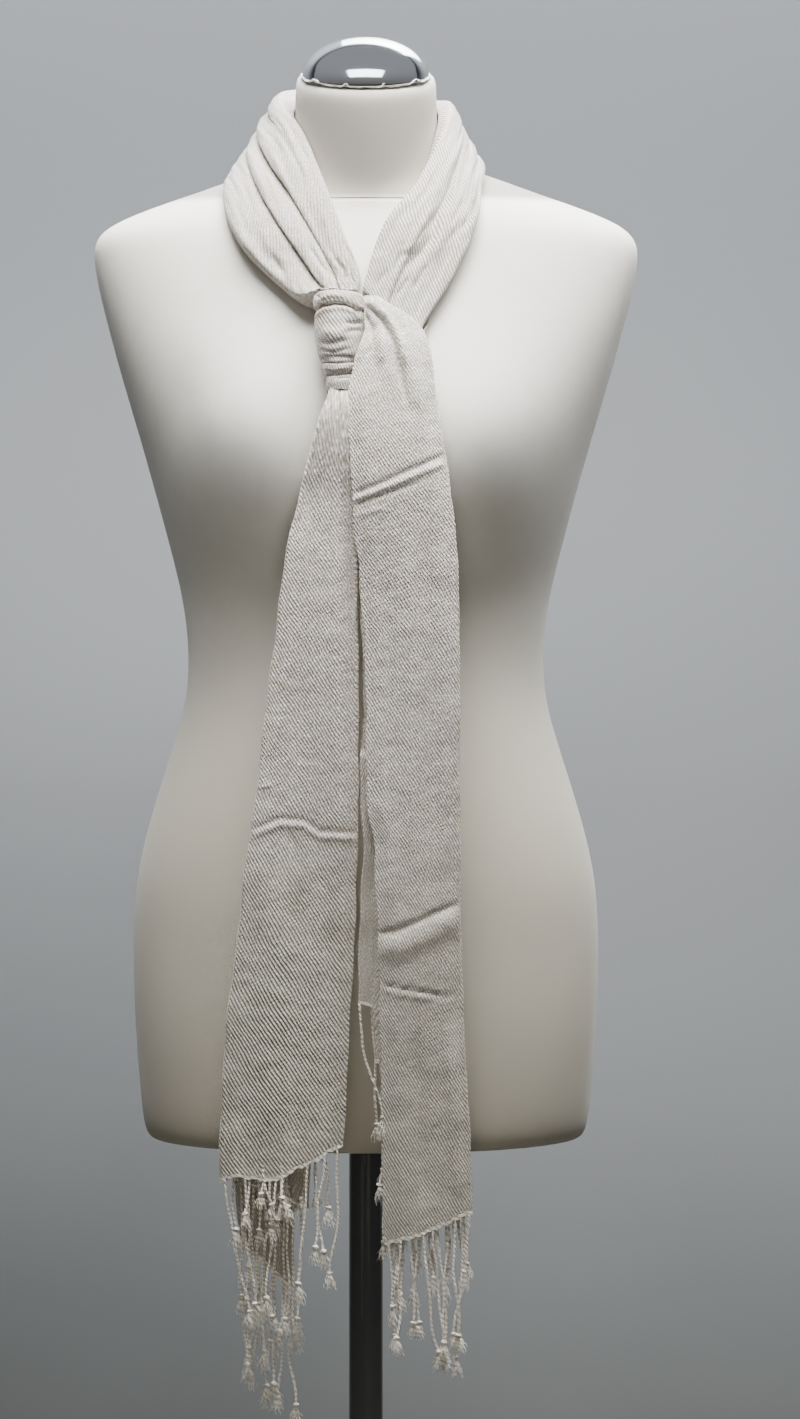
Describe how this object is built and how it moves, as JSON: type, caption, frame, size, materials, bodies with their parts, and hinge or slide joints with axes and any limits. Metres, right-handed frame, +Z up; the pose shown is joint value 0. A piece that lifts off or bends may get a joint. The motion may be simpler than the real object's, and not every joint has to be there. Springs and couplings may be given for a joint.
{
  "type": "pashmina shawl on a limbless dress form",
  "caption": "Long fringed twill shawl, folded lengthwise, looped and knotted round the neck of a smooth dress form on a pole stand.",
  "frame": {"origin": "on the floor, under the middle of the stand", "axes": "+Z up, the form faces -Y, +X to the viewer's right"},
  "size_m": [0.3912, 0.35, 1.4848],
  "materials": {
    "shawl_twill": "soft satin twill, cream",
    "fringe_yarn": "twisted two-ply yarn, cream",
    "form_jersey": "smooth stretched jersey, ivory",
    "cap_chrome": "polished",
    "pole_chrome": "polished, dark",
    "base_paint": "satin black"
  },
  "bodies": {
    "root": {"shawl_neck_left": "shawl_twill", "shawl_neck_back": "shawl_twill", "shawl_neck_right": "shawl_twill", "shawl_knot": "shawl_twill", "shawl_tail_left": "shawl_twill", "shawl_tail_right": "shawl_twill", "fringe_left": "fringe_yarn", "fringe_right": "fringe_yarn", "form_body": "form_jersey", "form_cap": "cap_chrome", "stand_pole": "pole_chrome", "stand_base": "base_paint"}
  },
  "joints": []
}
